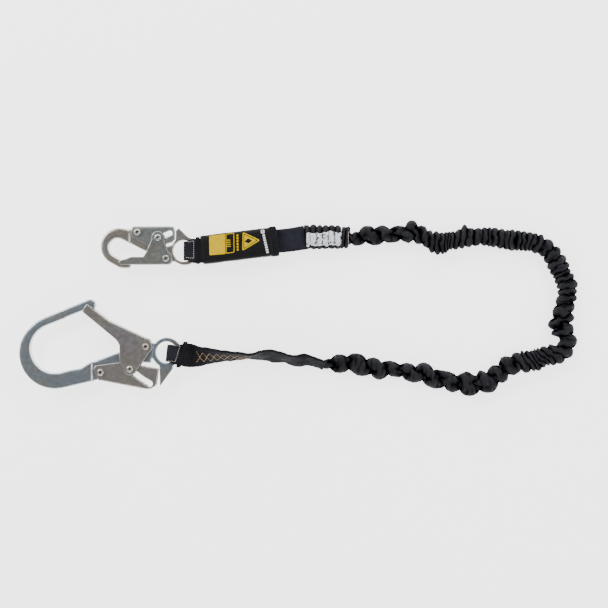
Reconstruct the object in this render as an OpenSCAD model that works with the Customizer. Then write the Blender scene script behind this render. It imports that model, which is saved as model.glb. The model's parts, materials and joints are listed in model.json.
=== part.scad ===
/* Shock absorbing lanyard, millimetres, lying flat with +Z up.
   Origin: centre of the harness snap hook's bowl, at mid-thickness.
   +X runs from the hook along the pack, +Y is to the left of it. */

/* [Harness snap hook] */
// Radius of the snap hook's bowl
snap_bowl_r = 12.5; // [11:0.5:12.5]
// Radius of the eye that takes the webbing
eye_r = 15; // [14.5:0.5:15.5]
// Angle through which the snap gate opens
snap_gate_deg = 30; // [20:1:30]
// Angle through which the snap lock lever is squeezed
snap_lever_deg = 6; // [5:0.5:7]

/* [Anchor rebar hook] */
// Radius of the rebar hook's bowl
rebar_bowl_r = 34; // [32:0.5:35]
// Angle through which the rebar gate opens
rebar_gate_deg = 42; // [30:1:44]
// Angle through which the rebar lock lever is squeezed
rebar_lever_deg = 10.5; // [8:0.5:11]

/* [Hook stack, through the thickness] */
// Thickness of the forged bowls
bowl_t = 15.5; // [13:0.5:15.5]
// Thickness of the forged bars that carry the rivets
bar_t = 11; // [10:0.5:11]
// Thickness of the forged eyes
eye_t = 9; // [7:0.5:9]
// Thickness of the gate and lever side plates
plate_t = 2; // [1.5:0.1:2]
// Free gap between neighbouring plates
plate_gap = 0.3; // [0.2:0.05:0.4]
// Shaft radius of the pivot rivets
pivot_r = 3; // [2.5:0.1:3]
// Shaft radius of the interlock rivets
lock_pin_r = 2.5; // [2:0.1:2.5]
// Radius of every rivet head
head_r = 5; // [4.5:0.1:5.5]
// Height of every rivet head
head_h = 2.3; // [1.5:0.1:2.3]

/* [Webbing and loops] */
// Width of the load webbing
web_w = 33; // [30:1:35]
// Thickness of the load webbing
web_t = 2; // [1.6:0.1:2.2]
// Thickness of the wear pads and keepers
pad_t = 1; // [0.6:0.1:1]
// Half height of the free space inside each loop
loop_in_h = 9.2; // [9:0.1:9.3]

/* [Energy absorber pack] */
// Length of the pack cover
pack_l = 107; // [100:1:112]
// Width of the pack cover
pack_w = 40; // [38:1:44]
// Wall of the pack cover
cover_t = 1; // [0.8:0.1:1]
// Angle at which the pack lies to the hook
pack_tilt = 7; // [0:1:8]

/* [Elastic leg] */
// Width of the gathered sleeve
leg_w = 30; // [26:1:34]
// Height of the gathered sleeve
leg_h = 22; // [18:1:24]
// Wall of the gathered sleeve
leg_wall = 1.6; // [1.2:0.1:2]

/* [Hidden] */
$fn = 64;

// Colours
zinc = [0.74, 0.73, 0.70];
dull_steel = [0.46, 0.45, 0.44];
blue_steel = [0.62, 0.65, 0.68];
spring_steel = [0.80, 0.80, 0.82];
fabric = [0.10, 0.10, 0.12];
pad_grey = [0.16, 0.16, 0.17];
thread = [0.82, 0.78, 0.70];
label_white = [0.92, 0.93, 0.92];
label_yellow = [0.90, 0.80, 0.06];

// Half heights of the layers in both hooks, from the mid-plane outwards
lever_in = bar_t / 2 + plate_gap;
lever_out = lever_in + plate_t;
gate_in = lever_out + plate_gap;
gate_out = gate_in + plate_t;
head_gap = 0.1;
half_stack = gate_out + head_gap + head_h;
floor_z = -half_stack;
fit_gap = 0.05;

// The snap hook is drawn about this point, which puts its bowl's centre at the origin
snap_at = [2, -3];

// Snap hook points: gate pivot, interlock rivet, lever pivot and eye
snap_gate_at = [65.5, -11.9];
snap_pin_at = [54.2, 16.9];
snap_lever_at = [25.5, 24.4];
snap_eye_at = [90, -1.4];
snap_ring_r = 20;
snap_ring_shift = 1.5;

// Rebar hook points, measured from the centre of its own bowl
rebar_at = [-88, -141];
rebar_gate_at = [127.2, 2.9];
rebar_pin_at = [105.1, -28.3];
rebar_lever_at = [64.1, -32.8];
rebar_eye_at = [156, -5.2];
rebar_ring_r = 21;
rebar_nose_at = [49.3, 61.3];
rebar_nose_r = 8;

// Webbing loops
loop_out_h = loop_in_h + web_t;
pad_out_h = loop_out_h + pad_t;
harness_left = snap_eye_at[0] + 0.4;
harness_neck_w = 26;
harness_pad_w = 28;
anchor_turn = -6;
anchor_left = 0.4;
anchor_neck_w = 24;
anchor_pad_w = 26;
anchor_shift = -1;
anchor_end = 34;

// Pack, measured from the middle of its left end
pack_at = [117, -3.5];
pack_h = 2 * half_stack;

// Neck and sleeve head
neck_at = [224, 10];
neck_l = 36;
neck_turn = 5;
neck_t = 5;
head_at = [260, 14.5];
sleeve_l = 52;
band_l = 6;
leg_z = floor_z + leg_h / 2;

// Route of the elastic leg over the floor
leg_route = [[321, 15], [347, 19], [377, 16], [407, 20], [435, 10], [463, 11], [492, 15],
             [517, 16], [547, 11], [577, 8], [600, 0], [613, -16], [621, -38], [629, -56],
             [628, -78], [624, -103], [624, -128], [614, -146], [592, -154], [564, -159],
             [542, -169], [517, -181], [489, -188], [457, -183], [430, -177], [405, -173],
             [382, -169], [354, -165], [327, -160], [305, -162], [287, -165]];

// Route of the tail strap: x, y, height, twist in degrees, width
tail_route = [[102.1, -150.8, 0, 0, 33], [114, -151.7, 1, 42, 33], [134, -151, 3, 61, 33],
              [162, -151, 4, 71, 33], [189, -152, 4.5, 80, 33], [214, -153, 4.5, 75, 33],
              [232, -156, 3, 70, 30], [248, -157, 2, 72, 28], [264, -159, 1, 66, 26],
              [287, -165, leg_z, 50, 22]];
tail_t = 4;

// ---------- Helpers ----------

// A straight piece with round ends between two points
module link(a, b, r) {
  d = b - a;
  translate(a) circle(r = r);
  translate(b) circle(r = r);
  translate(a) rotate(atan2(d[1], d[0])) translate([0, -r]) square([norm(d), 2 * r]);
}

// A slab of a flat outline, centred on the mid-plane
module slab(t) {
  translate([0, 0, -t / 2]) linear_extrude(t) children();
}

// The same flat outline on both sides, from half height z0 to z1
module pair(z0, z1) {
  for (z = [z0, -z1]) translate([0, 0, z]) linear_extrude(z1 - z0) children();
}

// A rectangle with round corners, starting at x = 0 and centred on y = 0
module soft_rect(l, w, r) {
  translate([0, -w / 2 + r]) square([l, w - 2 * r]);
  translate([r, -w / 2]) square([l - 2 * r, w]);
  for (x = [r, l - r], y = [-w / 2 + r, w / 2 - r]) translate([x, y]) circle(r = r);
}

// A hollow-ended rivet through the whole stack
module rivet(at, r, seat) {
  translate(at) difference() {
    union() {
      cylinder(r = r, h = 2 * seat + 2, center = true);
      for (m = [0, 1]) mirror([0, 0, m]) translate([0, 0, seat]) cylinder(r = head_r, h = head_h);
    }
    for (m = [0, 1]) mirror([0, 0, m]) translate([0, 0, seat + head_h - 1.2]) cylinder(r = r - 0.6, h = 2);
  }
}

function turned(p, deg) = [p[0] * cos(deg) - p[1] * sin(deg), p[0] * sin(deg) + p[1] * cos(deg)];

// Where the interlock rivet sits, seen from the lever, at a fraction t of the travel
function pin_seen(gate, pin, lever, gate_deg, lever_deg, t) =
  let (now = gate + turned(pin - gate, gate_deg * t))
  lever + turned(now - lever, -lever_deg * t);

// The lever's slot: the interlock rivet's path in straight steps, up to a fraction of its travel
module lock_slot(gate, pin, lever, gate_deg, lever_deg, r, steps, travel) {
  for (i = [0 : steps - 1])
    link(pin_seen(gate, pin, lever, gate_deg, lever_deg, travel * i / steps),
         pin_seen(gate, pin, lever, gate_deg, lever_deg, travel * (i + 1) / steps), r);
}

// Catmull-Rom point between q[i] and q[i + 1]
function at_end(q, i) = q[max(0, min(len(q) - 1, i))];
function spline(q, i, t) =
  let (a = at_end(q, i - 1), b = at_end(q, i), c = at_end(q, i + 1), d = at_end(q, i + 2))
  0.5 * (2 * b + (c - a) * t + (2 * a - 5 * b + 4 * c - d) * t * t
         + (3 * b - a - 3 * c + d) * t * t * t);
function smooth(q, parts) =
  [for (i = [0 : len(q) - 2], k = [0 : parts - 1]) spline(q, i, k / parts), q[len(q) - 1]];
function heading(q, i) =
  let (d = at_end(q, i + 1) - at_end(q, i - 1))
  atan2(d[1], d[0]);

// A closed skin over a list of rings that all have n points
module skin(rings, n) {
  last = len(rings) - 1;
  polyhedron(
    points = [for (ring = rings) each ring],
    faces = concat(
      [[for (k = [0 : n - 1]) k]],
      [for (i = [0 : last - 1], k = [0 : n - 1])
        each [[i * n + k, (i + 1) * n + k, (i + 1) * n + (k + 1) % n],
              [i * n + k, (i + 1) * n + (k + 1) % n, i * n + (k + 1) % n]]],
      [[for (k = [n - 1 : -1 : 0]) last * n + k]]));
}

// An oval ring across a route: half width w, half height h, rolled by twist
function oval(p, z, deg, w, h, twist, n) =
  [for (k = [0 : n - 1])
    let (a = cos(k * 360 / n) * w, b = sin(k * 360 / n) * h,
         side = a * cos(twist) - b * sin(twist), up = a * sin(twist) + b * cos(twist))
    [p[0] - sin(deg) * side, p[1] + cos(deg) * side, z + up]];

// A tube along the leg's route
module leg_tube(w, h, n) {
  q = smooth(leg_route, 2);
  skin([for (i = [0 : len(q) - 1]) oval(q[i], leg_z, heading(q, i), w / 2, h / 2, 0, n)], n);
}

// A torsion spring round +Z: two legs and a coil, wire radius r
module torsion_spring(coil_r, r, turns, leg_a, leg_b, leg_l) {
  steps = round(turns * 14);
  sweep_deg = turns * 360 + leg_b - leg_a;
  rise = (2 * r + 0.05) * sweep_deg / 360;
  coil = [for (i = [0 : steps]) let (a = leg_a + sweep_deg * i / steps)
    [coil_r * cos(a), coil_r * sin(a), -rise / 2 + rise * i / steps, a]];
  first = coil[0];
  end = coil[steps];
  leg_in = [first[0] + leg_l * sin(leg_a), first[1] - leg_l * cos(leg_a), first[2], leg_a];
  leg_out = [end[0] - leg_l * sin(leg_b), end[1] + leg_l * cos(leg_b), end[2], end[3]];
  path = concat([leg_in], coil, [leg_out]);
  skin([for (p = path) [for (k = [5 : -1 : 0])
    [p[0] + r * cos(60 * k) * cos(p[3]), p[1] + r * cos(60 * k) * sin(p[3]),
     p[2] + r * sin(60 * k)]]], 6);
}

// ---------- Snap hook ----------

module snap_bowl_outline() {
  difference() {
    translate([0, 4.8]) circle(r = 26);
    translate(-snap_at) circle(r = snap_bowl_r);
    polygon([[-2, 3], [3.4, 14.28], [40, -3.25], [60, -60], [-30.9, -49.6]]);
    translate([14, 0]) square([20, 40]);
  }
  polygon([[-20, -8], [-13.5, -17.4], [-12.5, -18], [2, -25.9], [13, -26.2], [16.2, -24.6],
           [16.2, -22.2], [12.5, -17.5], [4.6, -14.9], [-8, -7.95], [-15, -5]]);
}

module snap_bar_outline() {
  polygon([[3.4, 14.3], [45, -5.6], [59, -14], [78, -17], [78, 8], [60, 3], [47, 7], [33, 19],
           [25, 29.5], [8, 29.4], [0, 25]]);
  translate(snap_lever_at) circle(r = 6.5);
  translate(snap_gate_at) circle(r = 7.2);
}

module snap_eye_outline() {
  translate([snap_eye_at[0] + snap_ring_shift, snap_eye_at[1]]) circle(r = snap_ring_r);
  polygon([[78.6, 8], [78.6, 27.5], [82.9, 31], [95.5, 18.8], [88, 8]]);
}

// The pocket in a forged bar that holds a lever's spring, open towards angle deg
module spring_pocket(at, deg) {
  translate(at) {
    cylinder(r = 6, h = 4.4, center = true);
    rotate(deg) translate([0, -6, -2.2]) cube([20, 12, 4.4]);
  }
}

module snap_hook_body() color(zinc) translate(snap_at) difference() {
  union() {
    slab(bowl_t) snap_bowl_outline();
    slab(bar_t) snap_bar_outline();
    slab(eye_t) snap_eye_outline();
  }
  translate(snap_eye_at) cylinder(r = eye_r, h = 40, center = true);
  translate(snap_gate_at) cylinder(r = pivot_r + fit_gap, h = 40, center = true);
  translate(snap_lever_at) cylinder(r = pivot_r + fit_gap, h = 40, center = true);
  spring_pocket(snap_lever_at, 90);
}

module snap_gate() color(dull_steel) translate(snap_at) difference() {
  union() {
    pair(gate_in, gate_out) {
      polygon([[-1.1, -17.5], [1.4, -15], [11.5, -11.9], [16.4, -9.7], [33.9, -9.7], [38.2, -2.5],
               [45.3, 15], [54.2, 22], [63.2, 15], [64.3, 7.6], [67.6, 0], [72.1, -6.9],
               [65.5, -20.8], [62, -21], [3, -21]]);
      translate(snap_pin_at) circle(r = 9);
      translate(snap_gate_at) circle(r = 8.9);
    }
    slab(2 * gate_out) translate([17, -21]) square([43, plate_t]);
  }
  translate(snap_gate_at) cylinder(r = pivot_r + fit_gap, h = 40, center = true);
  translate(snap_pin_at) cylinder(r = lock_pin_r + fit_gap, h = 40, center = true);
}

module snap_lock_lever() color(dull_steel) translate(snap_at) difference() {
  union() {
    pair(lever_in, lever_out)
      polygon([[17.2, 33.2], [77, 33.2], [77, 15], [72, 10.5], [65.7, 8.7], [50, 5], [41, 5.6],
               [15.8, 19.6]]);
    slab(2 * lever_out) translate([17.2, 31.2]) square([59.8, 2]);
  }
  translate(snap_lever_at) cylinder(r = pivot_r + fit_gap, h = 40, center = true);
  slab(40) lock_slot(snap_gate_at, snap_pin_at, snap_lever_at, -snap_gate_deg,
                     -snap_lever_deg, lock_pin_r + 1.3, 1, 1);
}

module snap_gate_rivet() color(spring_steel) translate(snap_at)
  rivet(snap_gate_at, pivot_r, gate_out + head_gap);
module snap_lever_rivet() color(spring_steel) translate(snap_at)
  rivet(snap_lever_at, pivot_r, gate_out + head_gap);
module snap_interlock_rivet() color(spring_steel) translate(snap_at)
  rivet(snap_pin_at, lock_pin_r, gate_out + head_gap);

module snap_gate_spring() color(spring_steel) translate(snap_at)
  translate([snap_gate_at[0], snap_gate_at[1], (bar_t / 2 + gate_in) / 2])
    torsion_spring(4.6, 0.5, 1, 200, 330, 10);

module snap_lever_spring() color(spring_steel) translate(snap_at)
  translate([snap_lever_at[0], snap_lever_at[1], 0])
    torsion_spring(4.2, 0.6, 2, 180, 360, 5);

// ---------- Rebar hook, drawn about its own bowl ----------

module rebar_bowl_outline() {
  difference() {
    translate([0.4, -6]) circle(r = 50.3);
    circle(r = rebar_bowl_r);
    polygon([[0, 0], [-12.46, 31.64], [80, 68], [120, 0], [60, -24], [5.9, -33.5]]);
  }
  polygon([[-28, 36.5], [-17, 42.8], [46.4, 68.8], [56.7, 58.3], [51, 53.5], [41, 53.6], [-10, 33.4],
           [-22, 30]]);
  translate(rebar_nose_at) circle(r = rebar_nose_r);
  polygon([[2, -45], [11.4, -55.1], [51.5, -45.8], [51.5, -18.4], [45.6, -20.6], [36.2, -26.8],
           [18.5, -30], [5.9, -33.5]]);
}

module rebar_bar_outline() {
  polygon([[45, -47.3], [56, -44.8], [60, -43.8], [75, -36], [95, -24.5], [110, -19], [134, -19.8],
           [138, 8], [127, 10], [90, -4.8], [55.4, -17], [45, -21]]);
  translate(rebar_gate_at) circle(r = 8.5);
}

module rebar_eye_outline() {
  translate(rebar_eye_at) circle(r = rebar_ring_r);
  polygon([[145.8, -20], [146.6, -53], [165.3, -27.5], [163, -20]]);
}

module rebar_hook_body() color(blue_steel) translate(rebar_at) difference() {
  union() {
    slab(bowl_t) rebar_bowl_outline();
    slab(bar_t) rebar_bar_outline();
    slab(eye_t) rebar_eye_outline();
  }
  translate(rebar_eye_at) cylinder(r = eye_r, h = 40, center = true);
  translate(rebar_gate_at) cylinder(r = pivot_r + fit_gap, h = 40, center = true);
  translate(rebar_lever_at) cylinder(r = pivot_r + fit_gap, h = 40, center = true);
  spring_pocket(rebar_lever_at, -90);
}

module rebar_gate() color(dull_steel) translate(rebar_at) difference() {
  union() {
    pair(gate_in, gate_out) {
      polygon([[45.6, 62.4], [77, 38.7], [131, 13.8], [136.5, 5], [135, -1.5], [112, -33.5],
               [105, -36], [97.5, -31], [90.8, -17], [90.4, 5], [88, 10], [83.7, 14.5],
               [39.3, 51.2], [40.5, 57]]);
      translate(rebar_pin_at) circle(r = 8.7);
      translate(rebar_gate_at) circle(r = 9.4);
    }
    difference() {
      slab(2 * gate_out)
        polygon([[45.6, 62.4], [77, 38.7], [126, 16.1], [125.2, 14.3], [76, 36.9], [44.4, 60.8]]);
      translate(rebar_nose_at) cylinder(r = rebar_nose_r + 1, h = 2 * gate_in, center = true);
    }
  }
  translate(rebar_gate_at) cylinder(r = pivot_r + fit_gap, h = 40, center = true);
  translate(rebar_pin_at) cylinder(r = lock_pin_r + fit_gap, h = 40, center = true);
}

module rebar_lock_lever() color(dull_steel) translate(rebar_at) difference() {
  union() {
    pair(lever_in, lever_out)
      polygon([[53.6, -28], [57.1, -23.4], [64.7, -22.3], [90.3, -18.8], [145, -28], [144.2, -34],
               [143, -43.4], [141.7, -50.6], [136.5, -56], [128.5, -57.3], [66.3, -45.3],
               [63.3, -45.3], [60.6, -43.2]]);
    slab(2 * lever_out)
      polygon([[66.3, -45.3], [128.5, -57.3], [136.5, -56], [135.5, -54], [128.4, -55.2],
               [66.7, -43.3]]);
  }
  translate(rebar_lever_at) cylinder(r = pivot_r + fit_gap, h = 40, center = true);
  slab(40) lock_slot(rebar_gate_at, rebar_pin_at, rebar_lever_at, rebar_gate_deg,
                     rebar_lever_deg, lock_pin_r + 1.6, 4, 1.1);
}

module rebar_gate_rivet() color(spring_steel) translate(rebar_at)
  rivet(rebar_gate_at, pivot_r, gate_out + head_gap);
module rebar_lever_rivet() color(spring_steel) translate(rebar_at)
  rivet(rebar_lever_at, pivot_r, gate_out + head_gap);
module rebar_interlock_rivet() color(spring_steel) translate(rebar_at)
  rivet(rebar_pin_at, lock_pin_r, gate_out + head_gap);

module rebar_gate_spring() color(spring_steel) translate(rebar_at)
  translate([rebar_gate_at[0], rebar_gate_at[1], (bar_t / 2 + gate_in) / 2])
    torsion_spring(4.6, 0.5, 1, 20, 150, 12);

module rebar_lever_spring() color(spring_steel) translate(rebar_at)
  translate([rebar_lever_at[0], rebar_lever_at[1], 0])
    torsion_spring(4.2, 0.6, 2, 0, 180, 5);

// ---------- Webbing loops ----------

// Side view of a loop's band between half heights a and b, ending square at x = l
module loop_band(left, a, b, l) {
  c = left + loop_out_h;
  intersection() {
    difference() {
      union() {
        translate([c, 0]) circle(r = b);
        translate([c, -b]) square([l - c, 2 * b]);
      }
      translate([c, 0]) circle(r = a);
      translate([c, -a]) square([l, 2 * a]);
    }
    translate([c - b, -b]) square([l - c + b, 2 * b]);
  }
}

// Stands a side view up: its y becomes z, and it runs w along y
module across(w) {
  translate([0, w / 2, 0]) rotate([90, 0, 0]) linear_extrude(w) children();
}

module harness_loop() color(fabric) difference() {
  translate(snap_at) intersection() {
    across(60) loop_band(harness_left, loop_in_h, loop_out_h, 140);
    slab(60) polygon([[80, -1.4 - harness_neck_w / 2], [101, -1.4 - harness_neck_w / 2],
                      [113, -web_w / 2 - 0.5], [140, -web_w / 2 + 2], [140, web_w / 2 + 2],
                      [113, web_w / 2 - 0.5], [101, -1.4 + harness_neck_w / 2],
                      [80, -1.4 + harness_neck_w / 2]]);
  }
  translate([pack_at[0], pack_at[1], 0]) rotate(pack_tilt) translate([9, -50, -50]) cube(100);
}

module harness_wear_pad() color(pad_grey) translate(snap_at) intersection() {
  across(60) loop_band(harness_left, loop_out_h, pad_out_h, 104);
  slab(60) translate([80, -1.4 - harness_pad_w / 2]) square([40, harness_pad_w]);
}

module harness_keeper() color(fabric) translate(snap_at) difference() {
  translate([104.4, -19.5, -pad_out_h]) cube([6.2, 37.5, 2 * pad_out_h]);
  translate([100, -18.5, -loop_out_h]) cube([20, 35.5, 2 * loop_out_h]);
}

// Rows of stitches on the pad: each stitch is a short bar
module stitch_row(x0, y0, x1, y1, z, pitch) {
  d = [x1 - x0, y1 - y0];
  count = floor(norm(d) / pitch);
  for (i = [0 : count - 1])
    translate([x0 + d[0] * i / count, y0 + d[1] * i / count, z])
      rotate(atan2(d[1], d[0])) cube([pitch * 0.65, 0.7, 0.3]);
}

module harness_stitching() color(thread) translate(snap_at) {
  stitch_row(102.6, -13, 102.6, 11, pad_out_h, 3);
  stitch_row(101, -13.6, 90.5, -13.6, pad_out_h, 3);
}

// ---------- Energy absorber ----------

module in_pack() translate([pack_at[0], pack_at[1], 0]) rotate(pack_tilt) children();

module absorber_cover() color(pad_grey) in_pack() difference() {
  slab(pack_h) soft_rect(pack_l - 10, pack_w, 2);
  translate([-1, -pack_w / 2 + cover_t, -half_stack + cover_t])
    cube([pack_l - 10 - cover_t, pack_w - 2 * cover_t, pack_h - 2 * cover_t]);
  translate([pack_l - 14, -web_w / 2 - 0.3, -2.8]) cube([10, web_w + 0.6, 5.6]);
}

// Load webbing folded to and fro, its turns sewn to tear
module tear_webbing() color(fabric) in_pack() {
  layers = 6;
  pitch = web_t + 0.8;
  x0 = 13;
  x1 = pack_l - 22;
  for (i = [0 : layers - 1]) {
    z = (i - (layers - 1) / 2) * pitch - web_t / 2;
    translate([x0, -web_w / 2, z]) cube([x1 - x0, web_w, web_t]);
    if (i < layers - 1)
      translate([i % 2 == 0 ? x1 - web_t : x0, -web_w / 2, z]) cube([web_t, web_w, pitch + web_t]);
  }
}

module cover_hem() color(fabric) in_pack() difference() {
  translate([pack_l - 10, 0, 0]) slab(pack_h - 4) soft_rect(10, pack_w, 2);
  translate([pack_l - 14, -web_w / 2 - 0.3, -2.8]) cube([20, web_w + 0.6, 5.6]);
}

module panel_label() color(label_yellow) in_pack()
  translate([14, -13.5, half_stack]) cube([22, 27, 0.4]);

module warning_label() color(label_yellow) in_pack() translate([60, 0, half_stack]) difference() {
  linear_extrude(0.4) polygon([[0, -14.5], [0, 14.5], [26, 0]]);
  translate([0, 0, -1]) linear_extrude(3) difference() {
    polygon([[2.2, -11.4], [2.2, 11.4], [22.6, 0]]);
    polygon([[3.4, -9.3], [3.4, 9.3], [20, 0]]);
  }
}

// ---------- Neck, sleeve head and label ----------

module neck_strap() color(fabric) slab(neck_t) {
  translate(neck_at) rotate(neck_turn) translate([0, -web_w / 2]) square([neck_l - 1, web_w]);
  in_pack() translate([pack_l - 13, -web_w / 2]) square([13.4, web_w]);
}

module sleeve_head() color(fabric) translate([head_at[0], head_at[1], leg_z])
  rotate([90, 0, 90]) linear_extrude(sleeve_l)
    link([-(leg_w - leg_h) / 2, 0], [(leg_w - leg_h) / 2, 0], leg_h / 2);

module inspection_label() color(label_white)
  translate([head_at[0] + 1.5, head_at[1] - 13.5, leg_z + leg_h / 2]) cube([sleeve_l - 3, 20, 0.5]);

module sleeve_band() color(fabric) translate([head_at[0] + sleeve_l, head_at[1], leg_z])
  rotate([90, 0, 90]) linear_extrude(band_l)
    link([-(leg_w - leg_h) / 2, 0], [(leg_w - leg_h) / 2, 0], leg_h / 2 - 1);

// ---------- Leg and tail ----------

module elastic_leg() color(fabric) difference() {
  leg_tube(leg_w, leg_h, 12);
  leg_tube(leg_w - 2 * leg_wall, leg_h - 2 * leg_wall, 12);
}

module core_strap() color(pad_grey) leg_tube(22, 3, 8);

module tail_strap() color(fabric) {
  q = smooth(tail_route, 3);
  skin([for (i = [0 : len(q) - 1])
    oval(q[i], q[i][2], heading(q, i), q[i][4] / 2, tail_t / 2, q[i][3], 12)], 12);
}

// ---------- Anchor end ----------

module at_anchor()
  translate([rebar_at[0] + rebar_eye_at[0], rebar_at[1] + rebar_eye_at[1], 0])
    rotate(anchor_turn) translate([0, anchor_shift, 0]) children();

module anchor_loop() color(fabric) at_anchor() {
  c = anchor_left + loop_out_h;
  knee = 21.5;
  intersection() {
    across(60) difference() {
      union() {
        translate([c, 0]) circle(r = loop_out_h);
        polygon([[c, loop_out_h], [knee, loop_out_h], [anchor_end, web_t], [anchor_end, -web_t],
                 [knee, -loop_out_h], [c, -loop_out_h]]);
      }
      translate([c, 0]) circle(r = loop_in_h);
      polygon([[c, loop_in_h], [knee, loop_in_h], [anchor_end - 2, 0], [knee, -loop_in_h],
               [c, -loop_in_h]]);
    }
    slab(60) polygon([[-5, -anchor_neck_w / 2], [12, -anchor_neck_w / 2], [27, -web_w / 2],
                      [40, -web_w / 2], [40, web_w / 2], [27, web_w / 2],
                      [12, anchor_neck_w / 2], [-5, anchor_neck_w / 2]]);
  }
}

module anchor_wear_pad() color(pad_grey) at_anchor() intersection() {
  across(60) loop_band(anchor_left, loop_out_h, pad_out_h, 14);
  slab(60) translate([-5, -anchor_pad_w / 2]) square([40, anchor_pad_w]);
}

module anchor_keeper() color(fabric) at_anchor() difference() {
  translate([14.5, -18.5, -pad_out_h]) cube([6.5, 38, 2 * pad_out_h]);
  translate([10, -17.5, -loop_out_h]) cube([20, 36, 2 * loop_out_h]);
}

module anchor_stitching() color(thread) at_anchor() {
  stitch_row(13, -12, 13, 11, pad_out_h, 3);
  stitch_row(12.5, -12.4, 3, -12.4, pad_out_h, 3);
}

snap_hook_body();
snap_gate();
snap_lock_lever();
snap_gate_rivet();
snap_lever_rivet();
snap_interlock_rivet();
snap_gate_spring();
snap_lever_spring();
rebar_hook_body();
rebar_gate();
rebar_lock_lever();
rebar_gate_rivet();
rebar_lever_rivet();
rebar_interlock_rivet();
rebar_gate_spring();
rebar_lever_spring();
harness_loop();
harness_wear_pad();
harness_keeper();
harness_stitching();
absorber_cover();
tear_webbing();
cover_hem();
panel_label();
warning_label();
neck_strap();
sleeve_head();
inspection_label();
sleeve_band();
elastic_leg();
core_strap();
tail_strap();
anchor_loop();
anchor_wear_pad();
anchor_keeper();
anchor_stitching();
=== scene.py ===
import json
import math

import bpy
import numpy as np
from mathutils import Matrix, Vector, noise


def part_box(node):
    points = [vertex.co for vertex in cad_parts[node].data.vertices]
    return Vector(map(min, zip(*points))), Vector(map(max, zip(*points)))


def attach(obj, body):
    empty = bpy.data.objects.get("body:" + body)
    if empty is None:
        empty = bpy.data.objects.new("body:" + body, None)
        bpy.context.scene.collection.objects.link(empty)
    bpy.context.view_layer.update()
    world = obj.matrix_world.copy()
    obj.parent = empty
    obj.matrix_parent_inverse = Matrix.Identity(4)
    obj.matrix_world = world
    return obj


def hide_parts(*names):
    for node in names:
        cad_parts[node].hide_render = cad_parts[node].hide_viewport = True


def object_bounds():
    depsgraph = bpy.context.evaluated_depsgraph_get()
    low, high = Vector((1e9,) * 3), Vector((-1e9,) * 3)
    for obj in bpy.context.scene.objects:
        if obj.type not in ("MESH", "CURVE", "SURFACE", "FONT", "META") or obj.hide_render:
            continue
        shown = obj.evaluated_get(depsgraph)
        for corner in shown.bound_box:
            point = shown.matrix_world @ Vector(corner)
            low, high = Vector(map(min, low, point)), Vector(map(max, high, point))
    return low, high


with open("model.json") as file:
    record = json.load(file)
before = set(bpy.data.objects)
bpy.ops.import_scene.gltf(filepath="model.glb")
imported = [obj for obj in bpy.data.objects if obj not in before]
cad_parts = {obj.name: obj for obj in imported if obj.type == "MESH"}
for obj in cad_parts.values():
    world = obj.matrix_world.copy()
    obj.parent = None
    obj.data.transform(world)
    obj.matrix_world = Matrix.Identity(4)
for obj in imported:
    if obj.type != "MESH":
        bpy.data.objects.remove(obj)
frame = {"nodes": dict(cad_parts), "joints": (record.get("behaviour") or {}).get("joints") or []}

cad_low, cad_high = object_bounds()
MM = 0.001
UP = Vector((0, 0, 1))
FLOOR_Z = cad_low.z

# ---------- Driving dimensions, in metres ----------

VIEW_CENTRE = (0.260, -0.0786)
VIEW_WIDTH = 0.8512
CAMERA_HEIGHT = 2.0
SENSOR = 36.0

WEB_T = 2.0 * MM
PAD_T = 1.0 * MM
FLOOR_HALF = 30
LOOP_OUT = 11.2 * MM
LOOP_MIDDLE = LOOP_OUT - WEB_T / 2
PAD_MIDDLE = LOOP_OUT + PAD_T / 2
PAD_TOP = LOOP_OUT + PAD_T
PACK_TILT = math.radians(7)
PACK_L = 107 * MM
PACK_W = 40 * MM
HEM_L = 10 * MM


def unit(value):
    """The value held between 0 and 1."""
    return float(np.clip(value, 0, 1))


def wrinkle(x, y, z):
    """Smooth noise, about -1 to 1."""
    return noise.noise(Vector((x, y, z)))


def circle(sides, turn=0.0):
    """Angle, cosine and sine at even steps round a circle."""
    angles = [2 * math.pi * (k + turn) / sides for k in range(sides)]
    return [(a, math.cos(a), math.sin(a)) for a in angles]


def new_object(name, data):
    """An object with the given data, linked to the scene."""
    made = bpy.data.objects.new(name, data)
    bpy.context.scene.collection.objects.link(made)
    return made


def on_floor(x, y, z=0.0):
    """A place given in millimetres."""
    return Vector((x * MM, y * MM, z * MM))


# ---------- Camera, floor and light ----------

def make_camera():
    data = bpy.data.cameras.new("camera")
    data.sensor_width = SENSOR
    data.lens = SENSOR * CAMERA_HEIGHT / VIEW_WIDTH
    data.clip_end = 20
    camera = new_object("camera", data)
    camera.location = (*VIEW_CENTRE, CAMERA_HEIGHT)
    bpy.context.scene.camera = camera


def area_light(name, place, size, watts):
    data = bpy.data.lights.new(name, "AREA")
    data.shape = "RECTANGLE"
    data.size, data.size_y = size
    data.energy = watts
    light = new_object(name, data)
    light.location = place
    aim = Vector((*VIEW_CENTRE, 0)) - Vector(place)
    light.rotation_euler = aim.to_track_quat("-Z", "Y").to_euler()


def make_sky():
    """Soft studio surround: bright towards the horizon, darker overhead."""
    world = bpy.data.worlds.new("studio")
    world.use_nodes = True
    nodes, links = world.node_tree.nodes, world.node_tree.links
    parts = nodes.new("ShaderNodeSeparateXYZ")
    links.new(nodes.new("ShaderNodeTexCoord").outputs["Generated"], parts.inputs[0])
    ramp = nodes.new("ShaderNodeValToRGB")
    ramp.color_ramp.interpolation = "EASE"
    first, last = ramp.color_ramp.elements
    first.position, first.color = 0.15, (1.0, 1.0, 1.0, 1)
    last.position, last.color = 0.95, (0.30, 0.31, 0.33, 1)
    links.new(parts.outputs["Z"], ramp.inputs[0])
    links.new(ramp.outputs[0], nodes["Background"].inputs[0])
    nodes["Background"].inputs[1].default_value = 0.95
    bpy.context.scene.world = world


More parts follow.
